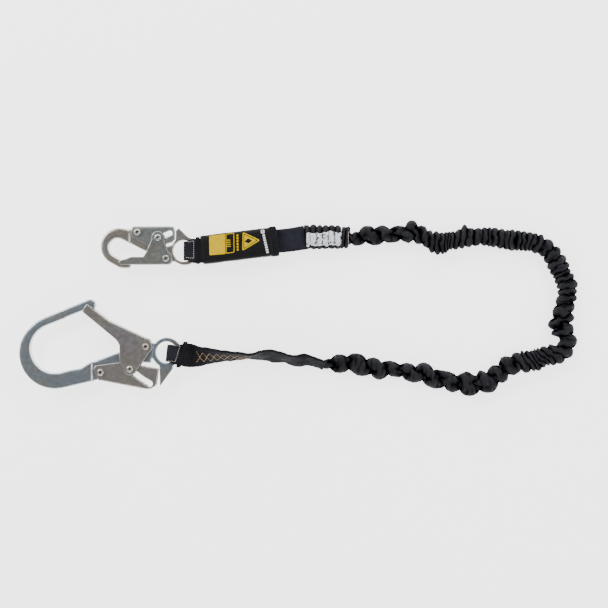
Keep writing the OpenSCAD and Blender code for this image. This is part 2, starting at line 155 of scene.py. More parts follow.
def make_studio():
    x, y = VIEW_CENTRE
    area_light("left_softbox", (x - 1.6, y + 1.2, 1.5), (1.5, 0.9), 42)
    area_light("right_softbox", (x + 1.8, y - 0.3, 1.3), (1.2, 1.2), 18)
    area_light("front_softbox", (x - 0.2, y - 2.0, 1.2), (2.0, 0.6), 18)
    area_light("back_softbox", (x + 0.5, y + 2.0, 1.1), (2.0, 0.6), 32)
    make_sky()
    mesh = bpy.data.meshes.new("floor")
    corners = [(x + a * FLOOR_HALF, y + b * FLOOR_HALF, FLOOR_Z)
               for a, b in ((-1, -1), (1, -1), (1, 1), (-1, 1))]
    mesh.from_pydata(corners, [], [(0, 1, 2, 3)])
    floor = new_object("floor", mesh)
    floor.data.materials.append(floor_paint())


# ---------- Materials ----------

class Shader:
    """A node material with one Principled shader and short ways to feed it."""

    def __init__(self, name, roughness, metallic=0.0, sheen=0.0, specular=0.5):
        self.material = bpy.data.materials.new(name)
        self.material.use_nodes = True
        self.nodes = self.material.node_tree.nodes
        self.links = self.material.node_tree.links
        self.shader = self.nodes["Principled BSDF"]
        for socket, value in (("Roughness", roughness), ("Metallic", metallic),
                              ("Specular IOR Level", specular), ("Sheen Weight", sheen)):
            self.shader.inputs[socket].default_value = value
        self.place = self.nodes.new("ShaderNodeTexCoord").outputs["Object"]

    def node(self, kind, **values):
        made = self.nodes.new("ShaderNode" + kind)
        for key, value in values.items():
            setattr(made, key, value)
        return made

    def noise(self, scale, detail=3.0, rough=0.55):
        made = self.node("TexNoise")
        for socket, value in (("Scale", scale), ("Detail", detail), ("Roughness", rough)):
            made.inputs[socket].default_value = value
        self.links.new(self.place, made.inputs["Vector"])
        return made.outputs["Fac"]

    def ramp(self, value, stops):
        made = self.node("ValToRGB")
        element = made.color_ramp.elements
        while len(element) < len(stops):
            element.new(0.5)
        for stop, (at, colour) in zip(element, stops):
            stop.position = at
            stop.color = (*colour, 1)
        self.links.new(value, made.inputs["Fac"])
        return made.outputs["Color"]

    def span(self, value, low, high, from_low=0.3, from_high=0.7):
        made = self.node("MapRange")
        for socket, number in (("From Min", from_low), ("From Max", from_high),
                               ("To Min", low), ("To Max", high)):
            made.inputs[socket].default_value = number
        self.links.new(value, made.inputs["Value"])
        return made.outputs["Result"]

    def math(self, operation, a, b=None):
        made = self.node("Math", operation=operation)
        for socket, value in zip(made.inputs, (a, b)):
            if value is None:
                continue
            if isinstance(value, (int, float)):
                socket.default_value = value
            else:
                self.links.new(value, socket)
        return made.outputs[0]

    def mix(self, share, a, b):
        made = self.node("Mix", data_type="RGBA")
        for socket, value in ((made.inputs["Factor"], share), (made.inputs["A"], a), (made.inputs["B"], b)):
            if isinstance(value, (int, float)):
                socket.default_value = value
            elif isinstance(value, tuple):
                socket.default_value = (*value, 1)
            else:
                self.links.new(value, socket)
        return made.outputs["Result"]

    def bump(self, height, depth, strength=1.0, under=None):
        made = self.node("Bump")
        made.inputs["Strength"].default_value = strength
        made.inputs["Distance"].default_value = depth
        self.links.new(height, made.inputs["Height"])
        if under:
            self.links.new(under, made.inputs["Normal"])
        self.links.new(made.outputs["Normal"], self.shader.inputs["Normal"])
        return made.outputs["Normal"]

    def feed(self, socket, value):
        self.links.new(value, self.shader.inputs[socket])

    def strap_axes(self):
        """Distances along and across a strap in metres, and 0 in its creases to 1 on its crests."""
        attribute = self.node("Attribute", attribute_name="strap")
        parts = self.node("SeparateXYZ")
        self.links.new(attribute.outputs["Vector"], parts.inputs[0])
        return parts.outputs["X"], parts.outputs["Y"], parts.outputs["Z"]

    def waves(self, distance, pitch):
        return self.math("SINE", self.math("MULTIPLY", distance, 2 * math.pi / pitch))


def floor_paint():
    s = Shader("pale_floor", 0.85, specular=0.1)
    s.feed("Base Color", s.ramp(s.noise(3), [(0.4, (0.90, 0.90, 0.90)), (0.6, (0.92, 0.92, 0.92))]))
    s.shader.inputs["Emission Color"].default_value = (1, 1, 1, 1)
    s.shader.inputs["Emission Strength"].default_value = 2.4
    return s.material


# Colour of the painted highlights on the steel's edges and bowl rims
PAINTED_HIGHLIGHT = (0.86, 0.87, 0.88)
# Colour of the painted shade in the rivet bores
PAINTED_BORE_SHADE = (0.10, 0.095, 0.085)


def plated_steel(name, base, tints, rough=(0.28, 0.44), edge=0.7, rim_highlight=0.5):
    """Zinc plate: cloudy tints, a fine tooth, painted highlights on sharp edges and bowl rims, painted shade
    in rivet bores.
    """
    s = Shader(name, rough[0], metallic=1.0)
    cloud = s.noise(30, 3, 0.55)
    colour = s.ramp(cloud, [(0.30 + 0.13 * i, tuple(b * t for b, t in zip(base, tint)))
                            for i, tint in enumerate(tints)])
    grime = s.noise(70, 3, 0.5)
    colour = s.mix(s.span(grime, 0.0, 0.25), colour, tuple(b * 0.6 for b in base))
    # Painted highlight: sharp edges, found by pointiness, are mixed towards bright steel by the edge share.
    point = s.node("NewGeometry").outputs["Pointiness"]
    edge_highlight = s.span(point, 0.0, 1.0, 0.515, 0.56)
    # Painted highlight: the bevel facing into a hook's bowl (the rim attribute) is mixed towards bright
    # steel.
    rim = s.node("Attribute", attribute_name="rim").outputs["Fac"]
    colour = s.mix(s.math("MULTIPLY", rim, rim_highlight), colour, PAINTED_HIGHLIGHT)
    colour = s.mix(s.math("MULTIPLY", edge_highlight, edge), colour, PAINTED_HIGHLIGHT)
    # Painted shade: the rivet bores are mixed towards near black.
    bore_shade = s.node("Attribute", attribute_name="bore_shade").outputs["Fac"]
    s.feed("Base Color", s.mix(bore_shade, colour, PAINTED_BORE_SHADE))
    s.feed("Roughness", s.span(s.noise(240, 4, 0.6), rough[0], rough[1]))
    fine = s.bump(s.noise(1500, 3, 0.6), 0.03 * MM, 0.5)
    dents = s.bump(s.noise(80, 2, 0.4), 0.35 * MM, 0.2, under=fine)
    s.bump(s.noise(34, 2, 0.5), 2.2 * MM, 0.30, under=dents)
    return s.material


def woven(name, dark, light, pitch=1.5 * MM, depth=0.16 * MM, sheen=0.05, rough=0.78):
    """Webbing: a plain weave that follows the strap, with lengthwise ribs and dust."""
    s = Shader(name, rough, sheen=sheen, specular=0.12)
    s.shader.inputs["Sheen Roughness"].default_value = 0.45
    s.shader.inputs["Sheen Tint"].default_value = (0.55, 0.6, 0.75, 1)
    along, across, _ = s.strap_axes()
    weave = s.math("MULTIPLY", s.waves(along, pitch), s.waves(across, pitch * 0.8))
    ribs = s.waves(across, pitch * 2.4)
    height = s.math("ADD", s.math("MULTIPLY", weave, 0.5), s.math("MULTIPLY", ribs, 0.4))
    cloud = s.noise(70, 4)
    s.feed("Base Color", s.mix(s.span(cloud, 0.0, 1.0), dark, light))
    s.feed("Roughness", s.span(s.noise(300), rough - 0.1, rough + 0.08))
    low = s.bump(s.noise(420, 3), 0.25 * MM, 0.5)
    s.bump(height, depth, 0.8, under=low)
    return s.material


def knitted(name, dark, light):
    """Sleeve cloth: a fine crosswise knit, soft sheen in the folds, painted shade in its creases."""
    s = Shader(name, 0.62)
    s.shader.inputs["Sheen Roughness"].default_value = 0.4
    s.shader.inputs["Sheen Tint"].default_value = (0.6, 0.62, 0.78, 1)
    along, across, crest = s.strap_axes()
    knit = s.math("MULTIPLY", s.waves(along, 0.9 * MM), s.waves(across, 1.1 * MM))
    colour = s.mix(s.span(s.noise(55, 4), 0.0, 0.9), dark, light)
    # Painted shade: the creases are darkened to a tenth of the cloth colour, with less specular and sheen.
    shade = s.span(crest, 0.0, 1.0, 0.35, 1.0)
    s.feed("Base Color", s.mix(shade, tuple(0.10 * c for c in dark), colour))
    s.feed("Specular IOR Level", s.math("MULTIPLY", shade, 0.26))
    s.feed("Sheen Weight", s.math("MULTIPLY", shade, 0.10))
    s.feed("Roughness", s.span(s.noise(260), 0.66, 0.84))
    low = s.bump(s.noise(500, 4), 0.3 * MM, 0.45)
    s.bump(knit, 0.09 * MM, 0.7, under=low)
    return s.material


def coated(name, base):
    """Pack cover: dense cloth under a matt coat, scuffed in random patches."""
    s = Shader(name, 0.5, sheen=0.02, specular=0.2)
    along, across, _ = s.strap_axes()
    fine = s.math("MULTIPLY", s.waves(along, 0.8 * MM), s.waves(across, 0.8 * MM))
    scuff = s.noise(120, 6, 0.7)
    s.feed("Base Color", s.ramp(scuff, [(0.35, base), (0.62, tuple(1.3 * c for c in base)),
                                        (0.80, tuple(2.4 * c for c in base))]))
    s.feed("Roughness", s.span(scuff, 0.42, 0.62))
    low = s.bump(s.noise(90, 3), 0.5 * MM, 0.35)
    s.bump(fine, 0.05 * MM, 0.5, under=low)
    return s.material


def printed(name, base, rough=0.55):
    """A printed label: slightly uneven ink on a thin flexible sheet."""
    s = Shader(name, rough, specular=0.12)
    ink = s.noise(260, 4)
    s.feed("Base Color", s.ramp(ink, [(0.3, tuple(0.86 * c for c in base)), (0.5, base),
                                      (0.75, tuple(min(1.0, 1.04 * c) for c in base))]))
    s.feed("Roughness", s.span(s.noise(420), rough - 0.08, rough + 0.12))
    s.bump(s.noise(170, 4), 0.25 * MM, 0.3)
    return s.material


def creased(name, base, shade):
    """A thin printed tag, with painted shade along its creases."""
    s = Shader(name, 0.5, specular=0.4)
    _, _, crest = s.strap_axes()
    s.feed("Base Color", s.mix(s.span(crest, 0.0, 1.0, 0.28, 0.72), shade, base))
    s.feed("Roughness", s.span(s.noise(420), 0.42, 0.62))
    s.bump(s.noise(260, 4), 0.3 * MM, 0.4)
    return s.material


def spun(name, base):
    """Sewing thread: twisted plies and a little fluff."""
    s = Shader(name, 0.7, sheen=0.3, specular=0.3)
    along, across, _ = s.strap_axes()
    twist = s.waves(s.math("ADD", along, across), 0.35 * MM)
    s.feed("Base Color", s.ramp(s.noise(900), [(0.35, tuple(0.7 * c for c in base)), (0.6, base)]))
    s.bump(twist, 0.06 * MM, 0.8)
    return s.material


NEUTRAL, STRAW, ROSE, SKY = (1, 1, 1), (1.05, 1.0, 0.88), (1.05, 0.94, 0.94), (0.90, 0.99, 1.08)

MATERIALS = {
    "forged_light": plated_steel("zinc_forging", (0.45, 0.43, 0.395), (SKY, NEUTRAL, STRAW, ROSE),
                                 (0.26, 0.40), 0.45, 0.75),
    "forged_blue": plated_steel("zinc_forging_blue", (0.39, 0.41, 0.415), (SKY, SKY, NEUTRAL, STRAW),
                                (0.28, 0.42), 0.15),
    "sheet_dark": plated_steel("zinc_sheet_dark", (0.36, 0.375, 0.365), (SKY, NEUTRAL, NEUTRAL, STRAW)),
    "sheet_grey": plated_steel("zinc_sheet_grey", (0.40, 0.395, 0.38), (NEUTRAL, STRAW, ROSE, NEUTRAL)),
    "rivet": plated_steel("bright_rivet", (0.47, 0.46, 0.44), (NEUTRAL, STRAW, NEUTRAL, SKY),
                          (0.24, 0.40), 0.25),
    "webbing": woven("black_webbing", (0.0046, 0.0045, 0.0060), (0.0092, 0.0094, 0.0122)),
    "navy": woven("navy_webbing", (0.0105, 0.0108, 0.0160), (0.0195, 0.0200, 0.0285), sheen=0.08),
    "pad": woven("pad_cloth", (0.0088, 0.0090, 0.0132), (0.0170, 0.0173, 0.0245), 0.9 * MM, 0.08 * MM,
                 0.06),
    "knit": knitted("sleeve_knit", (0.0066, 0.0066, 0.0090), (0.0140, 0.0142, 0.0190)),
    "cover": coated("pack_cover", (0.0033, 0.0033, 0.0036)),
    "yellow": printed("yellow_print", (0.67, 0.45, 0.0), 0.5),
    "black_ink": printed("black_print", (0.012, 0.012, 0.012), 0.4),
    "white": printed("white_print", (0.80, 0.82, 0.84)),
    "tag": creased("crumpled_tag", (0.87, 0.89, 0.91), (0.06, 0.065, 0.075)),
    "grey_ink": printed("grey_print", (0.05, 0.055, 0.065)),
    "thread": spun("beige_thread", (0.60, 0.56, 0.47)),
    "gold": spun("gold_thread", (0.46, 0.27, 0.12)),
}


# ---------- Mesh helpers ----------

def add_piece(name, mesh, material, body="lanyard", replaces=()):
    piece = new_object(name, mesh)
    mesh.materials.clear()
    mesh.materials.append(MATERIALS[material])
    mesh.shade_smooth()
    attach(piece, body)
    if replaces:
        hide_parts(*replaces)
    return piece


def make_mesh(name, points, faces, strap=None):
    mesh = bpy.data.meshes.new(name)
    mesh.from_pydata([tuple(p) for p in points], [], faces)
    if strap is not None:
        layer = mesh.attributes.new("strap", "FLOAT_VECTOR", "POINT")
        layer.data.foreach_set("vector", np.asarray(strap, dtype=np.float32).ravel())
    mesh.validate()
    mesh.update()
    return mesh


def skin(name, rings, strap=None, closed=False):
    """A mesh through rings of equal size, capped at both ends unless it closes on itself."""
    n, count = len(rings[0]), len(rings)
    faces = []
    for i in range(count if closed else count - 1):
        a, b = i * n, (i + 1) % count * n
        faces += [(a + k, a + (k + 1) % n, b + (k + 1) % n, b + k) for k in range(n)]
    if not closed:
        faces.append(tuple(range(n - 1, -1, -1)))
        faces.append(tuple((count - 1) * n + k for k in range(n)))
    return make_mesh(name, [p for ring in rings for p in ring], faces, strap)


def distances(points):
    """The distance along a path at each of its points."""
    return np.concatenate([[0], np.cumsum([(b - a).length for a, b in zip(points, points[1:])])])


def spline(points, spacing):
    """Even steps along a Catmull-Rom curve, each as (place in the list, point)."""
    points = [Vector(p) for p in points]
    fine, steps = [], 40
    for i in range(len(points) - 1):
        a, b, c = points[max(0, i - 1)], points[i], points[i + 1]
        d = points[min(len(points) - 1, i + 2)]
        for k in range(steps):
            t = k / steps
            fine.append((i + t, 0.5 * (2 * b + (c - a) * t + (2 * a - 5 * b + 4 * c - d) * t * t
                                       + (3 * b - a - 3 * c + d) * t ** 3)))
    fine.append((len(points) - 1.0, points[-1]))
    lengths = distances([p for _, p in fine])
    count = max(2, round(lengths[-1] / spacing))
    wanted = np.linspace(0, lengths[-1], count + 1)
    place = np.interp(wanted, lengths, [f[0] for f in fine])
    axes = [np.interp(wanted, lengths, [f[1][k] for f in fine]) for k in range(3)]
    return [(p, Vector(v)) for p, v in zip(place, zip(*axes))]


def tangents(path):
    """The direction of a path at each of its points."""
    last = len(path) - 1
    return [(path[min(last, i + 1)] - path[max(0, i - 1)]).normalized() for i in range(last + 1)]


def flat_section(width, thick, cells=12, round_steps=4):
    """A flat strap's section with round edges: (across, up, distance round it)."""
    half = max(width / 2 - thick / 2, thick * 0.1)
    out = [(half - 2 * half * k / cells, thick / 2, half - 2 * half * k / cells) for k in range(cells + 1)]
    for k in range(1, round_steps):
        a = math.pi * k / round_steps
        out.append((-half - math.sin(a) * thick / 2, math.cos(a) * thick / 2, -half - thick * 0.5))
    out += [(-a, -b, -t) for a, b, t in out[:cells + 1]]
    for k in range(1, round_steps):
        a = math.pi * k / round_steps
        out.append((half + math.sin(a) * thick / 2, -math.cos(a) * thick / 2, half + thick * 0.5))
    return out


def strap(name, path, across, width, thick, material, crumple=0.0, seed=0.0, closed=False,
          shift=None, slant=0.0, **more):
    """A flat strap along a path. across, width and slant are values or one per point."""
    count = len(path)
    across, width, slant = (v if isinstance(v, list) else [v] * count for v in (across, width, slant))
    heads = tangents(path)
    if closed:
        heads = [(path[(i + 1) % count] - path[i - 1]).normalized() for i in range(count)]
    rings, coords, along = [], [], 0.0
    for i, centre in enumerate(path):
        side = (across[i] - heads[i] * across[i].dot(heads[i])).normalized()
        up = heads[i].cross(side)
        ring = []
        for a, b, t in flat_section(width[i], thick):
            lift = 0.0
            if crumple:
                lift = crumple * (wrinkle(along * 90, a * 90, seed)
                                  + 0.4 * wrinkle(along * 260, a * 200, seed + 9))
            if shift:
                lift += shift(along, a)
            ring.append(centre + (side + heads[i] * slant[i]) * a + up * (b + lift))
            coords.append((along, t, 1))
        rings.append(ring)
        if i + 1 < count:
            along += (path[i + 1] - centre).length
    return add_piece(name, skin(name, rings, coords, closed), material, **more)


def seams(pitch, *lines):
    """Runs of stitches along the points of each line."""
    return [((*a, 0), (*b, 0), pitch) for line in lines for a, b in zip(line, line[1:])]


def stitches(name, runs, surface, material="thread", width=0.7 * MM, share=0.68, replaces=()):
    """Rows of thread: each run is (from, to, pitch); surface(x, y) gives a place and its normal."""
    points, faces, coords = [], [], []
    profile = [(-0.5, 0.25), (-0.42, 0.8), (-0.2, 1.0), (0.2, 1.0), (0.42, 0.8), (0.5, 0.25)]
    for start, end, pitch in runs:
        start, end = Vector(start), Vector(end)
        count = max(1, int((end - start).length / pitch))
        for i in range(count):
            ring_start = len(points)
            middle = start.lerp(end, (i + 0.5) / count)
            step = (end - start) / count * share
            for at, swell in profile:
                p = middle + step * at
                place, normal = surface(p.x, p.y)
                ahead, _ = surface(p.x + step.x * 0.1, p.y + step.y * 0.1)
                head = (ahead - place).normalized()
                side = normal.cross(head)
                for k, (_, c, s) in enumerate(circle(6)):
                    points.append(place + side * c * swell * width / 2
                                  + normal * (s * swell * width * 0.32 + width * 0.12 * swell))
                    coords.append((at * step.length, width * k / 6, 0))
            for r in range(len(profile) - 1):
                for k in range(6):
                    a, b = ring_start + r * 6, ring_start + (r + 1) * 6
                    faces.append((a + k, a + (k + 1) % 6, b + (k + 1) % 6, b + k))
            faces.append(tuple(ring_start + k for k in range(5, -1, -1)))
            faces.append(tuple(ring_start + (len(profile) - 1) * 6 + k for k in range(6)))
    add_piece(name, make_mesh(name, points, faces, coords), material, replaces=replaces)


# ---------- Elastic leg ----------

# Route of the leg over the floor, in millimetres
LEG_ROUTE = [(321, 15), (347, 19), (377, 16), (407, 20), (435, 10), (463, 11), (492, 15),
             (517, 16), (547, 11), (577, 8), (600, 0), (613, -16), (621, -38), (629, -56),
             (628, -78), (624, -103), (624, -128), (614, -146), (592, -154), (564, -159),
             (542, -169), (517, -181), (489, -188), (457, -183), (430, -177), (405, -173),
             (382, -169), (354, -165), (327, -160), (305, -162), (287, -165)]
# Puffs of the gathered sleeve, in millimetres: its crest on the left of the route, its crest on
# the right, and how many small gathers come before the next puff
PUFFS = [(321, 31, 322, 3, 0), (327, 12, 332, 2, 0), (345, 31, 361, 3, 0), (370, 32, 382, 7, 0),
         (394, 32, 406, 6.5, 0), (412.5, 38.5, 421, 4.5, 0), (428, 31, 430, 1, 0),
         (438, 25, 438.5, -7, 0), (446, 23.5, 447, -10, 0), (453, 22.5, 455, -9, 3),
         (474, 25, 471, -3, 0), (485, 33, 482, -1.5, 0), (493.5, 28, 490, 1, 2), (520.5, 29.5, 519, 1, 3),
         (552.5, 26.5, 551, -4.5, 4), (592, 19.5, 580, -7, 0),
         (605.5, 11, 592, -12, 0), (619.5, -1.5, 597, -19, 0), (627.5, -13.5, 601, -28, 0),
         (632, -24, 605.5, -38, 1), (637.5, -37, 610, -46.5, 0), (644, -50, 614, -56, 0),
         (642, -60.5, 615.5, -63, 0), (643, -69.5, 613, -70.5, 0), (639.5, -83.5, 608, -89.5, 0),
         (639, -98.5, 602, -108, 0), (638, -113.5, 606.5, -121, 0), (643, -132, 618, -130, 0),
         (635, -151.5, 604, -135, 0), (621.5, -162.5, 593, -138, 1), (602, -165.5, 582, -141.5, 1),
         (588, -172.5, 571, -143, 1), (577, -174.5, 560, -144.5, 0), (554, -179.5, 539, -151.5, 0),
         (545, -186.5, 520.5, -167, 0), (525, -202, 507, -171, 0), (487, -207.5, 491, -173.5, 0),
         (469, -203, 457, -172, 0), (442, -197, 429.5, -160.5, 0), (406, -188, 407, -161, 0),
         (387, -181, 382, -158.5, 0), (366.5, -185, 359, -153.5, 0), (338.5, -179.5, 337, -147.5, 0),
         (306, -176, 304, -149, 0), (290, -174, 289, -152, 0)]


def side_gathers(route, along, side):
    """Crests along one side of the leg: distances, reaches and the distance of each pinch."""
    flat = np.array([(p.x, p.y) for p in route])
    crests = []
    for puff in PUFFS:
        gap = np.hypot(*(flat - np.array(puff[2 * side:2 * side + 2]) * MM).T)
        nearest = int(np.argmin(gap))
        crests.append((along[nearest], gap[nearest], puff[4]))
    out = []
    for i, (place, reach, small) in enumerate(crests):
        if out and place < out[-1][0] + 2.5 * MM:
            place = out[-1][0] + 2.5 * MM
        out.append((place, reach))
        for k in range(small):
            t = (k + 1) / (small + 1)
            jitter = 0.75 * wrinkle(i * 3.1, k * 1.7, 0.4) / (small + 1)
            after = crests[i + 1]
            slack = 0.95 + 0.14 * wrinkle(i * 2.3, k * 2.9, side * 5.0)
            out.append((place + (after[0] - place) * (t + jitter),
                        (reach + (after[1] - reach) * t) * slack))
    places = np.array([o[0] for o in out])
    return places, np.array([o[1] for o in out]), (places[1:] + places[:-1]) / 2


def eased(at, places, values):
    """Values between places, level at each place so that every crest is round."""
    i = np.clip(np.searchsorted(places, at) - 1, 0, len(places) - 2)
    t = np.clip((at - places[i]) / (places[i + 1] - places[i]), 0, 1)
    return values[i] + (values[i + 1] - values[i]) * t * t * (3 - 2 * t)


def leg_rings(spacing, sides):
    """Rings of the gathered sleeve, its ring centres and each ring's half widths."""
    route = [p for _, p in spline([on_floor(x, y) for x, y in LEG_ROUTE], spacing)]
    heads = tangents(route)
    along = distances(route)
    gathers = [side_gathers(route, along, side) for side in (0, 1)]
    # Each side's phase grows by one from pinch to pinch, and runs on past its first and last
    phases = [np.interp(along, pinch, np.arange(1, len(pinch) + 1)) for _, _, pinch in gathers]
    for i, (_, _, pinch) in enumerate(gathers):
        before, after = along < pinch[0], along > pinch[-1]
        phases[i][before] = 1 - (pinch[0] - along[before]) / (16 * MM)
        phases[i][after] = len(pinch) + (along[after] - pinch[-1]) / (20 * MM)
    reaches = [eased(along, place, reach) for place, reach, _ in gathers]
    pitches = [np.maximum(3.5 * MM, 1 / np.maximum(np.gradient(phase, along), 1)) for phase in phases]
    rings, coords, centres, halves = [], [], [], []
    for i, point in enumerate(route):
        side = UP.cross(heads[i]).normalized()
        left, right = reaches[0][i], reaches[1][i]
        pitch = (pitches[0][i] + pitches[1][i]) / 2 / MM
        loose = unit((pitch - 6) / 14)
        taper = unit(0.5 + (along[-1] - along[i]) / (30 * MM))
        half = (left + right) / 2 * taper
        centre = point + side * (left - right) / 2 * taper
        tall = float(np.clip(0.42 * half + 4.4 * MM, 7.5 * MM, 10.9 * MM)) * (1 - 0.12 * loose)
        ring = []
        for a, c, s in circle(sides):
            # Creases run from the pinches of one side over to those of the other
            share = 0.5 - 0.5 * c
            share = share * share * (3 - 2 * share)
            here = phases[0][i] * (1 - share) + phases[1][i] * share
            wander = wrinkle(c * 1.4, s * 1.4, along[i] * (70 - 35 * loose))
            here += (0.48 + 0.05 * loose) * wander * abs(s)
            cell = math.floor(here)
            fold = abs(math.sin(math.pi * here))
            dip = fold ** (0.5 + 0.2 * loose * abs(c))
            swell = wrinkle(cell * 3.7, c * 0.9, s * 0.9 + 5)
            deep = (0.34 + 0.12 * loose) * (1 - 0.28 * abs(c) * (1 - loose))
            deep += 0.14 * wrinkle(c * 1.3, s * 1.3, along[i] * 75 + 3)
            reach = (1 - deep * (1 - dip)) * (1 + (0.22 - 0.14 * abs(c)) * swell)
            # Small ripples on each puff, mostly on its top
            ripple = wrinkle(c * 1.6 + cell, s * 1.6, along[i] * (210 + 60 * loose))
            reach += (0.05 + 0.07 * loose) * ripple * (0.35 + 0.65 * abs(s))
            p = centre + side * (c * half * reach)
            p.z = FLOOR_Z + tall + s * tall * reach + 0.25 * MM
            p += heads[i] * (1.1 * MM * wrinkle(c * 2, s * 2, along[i] * 110 + 7))
            p.z = max(p.z, FLOOR_Z + 0.15 * MM)
            ring.append(p)
            # The third value is 0 in the creases and higher on crests and ripples; it sets the painted crease
            # shade.
            coords.append((along[i], a * half, fold ** 0.7 + (0.25 + 0.35 * loose) * ripple))
        rings.append(ring)
        centres.append(Vector((centre.x, centre.y, FLOOR_Z + tall)))
        halves.append(half)
    return rings, coords, centres, halves


def smoothed(points, reach):
    """A running mean of a list of points, which keeps its two ends."""
    out = []
    for i in range(len(points)):
        span = min(reach, i, len(points) - 1 - i)
        group = points[i - span:i + span + 1]
        out.append(sum(group, Vector()) / len(group))
    return out


def make_leg():
    """The gathered sleeve, the webbing inside it and what the cord is made of."""
    rings, coords, centres, halves = leg_rings(0.6 * MM, 64)
    leg = add_piece("gathered_sleeve", skin("gathered_sleeve", rings, coords), "knit",
                    replaces=("elastic_leg",))
    line = smoothed(centres, 16)
    inner = [c.copy() for c in line[::12]]
    widths = [min(18 * MM, 0.95 * h) for h in halves[::12]]
    side = [UP.cross(t).normalized() for t in tangents(inner)]
    core = strap("core_webbing", inner, side, widths, 2.4 * MM, "webbing", replaces=("core_strap",))


# ---------- Straps at both ends ----------

def joint_place(name):
    """A joint's place and axis."""
    joint = next(j for j in frame["joints"] if j["name"] == name)
    return Vector(joint["pos_m"]), Vector(joint["axis"])


def strap_frame(origin, ahead):
    """Turns (along, across, up) in a strap's own frame into a place."""
    side = UP.cross(ahead)
    return lambda x, y, z=0.0: origin + ahead * x + side * y + UP * z


def hairpin(place, left, radius, flat_to, steps=14):
    """A strap's path from far right over the top, round the left end and back below."""
    centre = left + radius
    path = [place(flat_to + (centre - flat_to) * k / 8, 0, radius) for k in range(8)]
    path += [place(centre - math.sin(math.pi * k / steps) * radius, 0, math.cos(math.pi * k / steps) * radius)
             for k in range(steps + 1)]
    path += [place(centre + (flat_to - centre) * k / 8, 0, -radius) for k in range(1, 9)]
    return path


def keeper(name, place, x, width, low, high, half_h, node, lean=0.0):
    """An elastic keeper: a flat band closed round the strap."""
    r = 3.0 * MM
    corners = [(high - r, half_h - r, 0), (low + r, half_h - r, 90),
               (low + r, r - half_h, 180), (high - r, r - half_h, 270)]
    path = []
    for i, (y, z, turn) in enumerate(corners):
        for k in range(6):
            a = math.radians(turn + 90 * k / 5)
            path.append(place(x + lean * y, y + r * math.cos(a), z + r * math.sin(a)))
        y2, z2, turn2 = corners[(i + 1) % 4]
        a, b = math.radians(turn + 90), math.radians(turn2)
        p = Vector((y + r * math.cos(a), z + r * math.sin(a)))
        q = Vector((y2 + r * math.cos(b), z2 + r * math.sin(b)))
        for k in range(1, 5):
            m = p.lerp(q, k / 5)
            path.append(place(x + lean * m.x, m.x, m.y))
    ahead = (place(1, 0) - place(0, 0)).normalized()
    strap(name, path, ahead, width, PAD_T, "webbing", crumple=0.35 * MM, seed=2.0, closed=True,
          replaces=(node,))


def make_harness_end():
    origin, _ = joint_place("snap_hook_swing")
    place = strap_frame(Vector((0, origin.y, 0)), Vector((1, 0, 0)))
    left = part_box("harness_loop")[0].x
    path = hairpin(place, left + WEB_T / 2, LOOP_MIDDLE, 0.126)
    widths = [(26 + 7 * unit((p.x / MM - 96) / 12)) * MM for p in path]
    strap("harness_loop_web", path, Vector((0, 1, 0)), widths, WEB_T, "webbing",
          crumple=0.3 * MM, seed=1.0, replaces=("harness_loop",))
    keeper_low, keeper_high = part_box("harness_keeper")
    edge = keeper_low.x + 2.6 * MM
    pad_path = hairpin(place, left - PAD_T / 2, PAD_MIDDLE, edge)
    widths = [(26.5 + 7 * unit((p.x - left - 5.5 * MM) / (5 * MM))) * MM for p in pad_path]
    strap("harness_pad_cloth", pad_path, Vector((0, 1, 0)), widths, PAD_T, "pad",
          crumple=0.25 * MM, seed=4.0, replaces=("harness_wear_pad",))
    keeper("harness_keeper_band", place, edge + 2.3 * MM, 4.2 * MM,
           keeper_low.y - origin.y + PAD_T / 2, keeper_high.y - origin.y - PAD_T / 2,
           keeper_high.z - PAD_T / 2, "harness_keeper")
    surface = lambda x, y: (place(x, y, PAD_TOP + 0.25 * MM), UP)
    x = edge - 2.4 * MM
    runs = seams(2.6 * MM, [(x, 13.6 * MM), (x, -10.5 * MM), (left + 3 * MM, -9.5 * MM)],
                 [(x, 13.6 * MM), (left + 6 * MM, 12 * MM)])
    stitches("harness_pad_stitches", runs, surface, replaces=("harness_stitching",))


def make_anchor_end():
    pivot, axis = joint_place("rebar_hook_swing")
    ahead = axis.cross(UP).normalized()
    origin = pivot - ahead * 18 * MM
    place = strap_frame(origin, ahead)
    reach = lambda points: [(p - origin).dot(ahead) / MM for p in points]
    left = 0.4 * MM
    path = hairpin(place, left + WEB_T / 2, LOOP_MIDDLE, 34.5 * MM)
    local = reach(path)
    closing = [unit((x - 19) / 15) for x in local]
    for p, shut in zip(path, closing):
        p.z *= 1 - 0.88 * shut * shut * (3 - 2 * shut)
    widths = [(24 + 9 * unit((x - 12) / 15)) * MM for x in local]
    strap("anchor_loop_web", path, axis, widths, WEB_T, "webbing", crumple=0.3 * MM, seed=6.0,
          replaces=("anchor_loop",))
    pad_path = hairpin(place, left - PAD_T / 2, PAD_MIDDLE, 18.4 * MM)
    upper = [unit(p.z / (9 * MM)) for p in pad_path]
    widths = [(23.5 + 5 * t * unit((x - 7.5) / 4.5)) * MM for t, x in zip(upper, reach(pad_path))]
    strap("anchor_pad_cloth", pad_path, axis, widths, PAD_T, "pad",
          crumple=0.25 * MM, seed=8.0, slant=[-0.14 * t for t in upper], replaces=("anchor_wear_pad",))
    keeper("anchor_keeper_band", place, 21.4 * MM, 4.6 * MM, -17.5 * MM, 18 * MM, 12.2 * MM, "anchor_keeper",
           lean=0.2)
    surface = lambda x, y: (place(x, y, PAD_TOP + 0.25 * MM), UP)
    corner = (18.6 * MM, 12.2 * MM)
    runs = seams(2.4 * MM, [corner, (14.2 * MM, -10 * MM), (0, -10.5 * MM)], [corner, (9 * MM, 12.2 * MM)])
    stitches("anchor_pad_stitches", runs, surface, replaces=("anchor_stitching",))


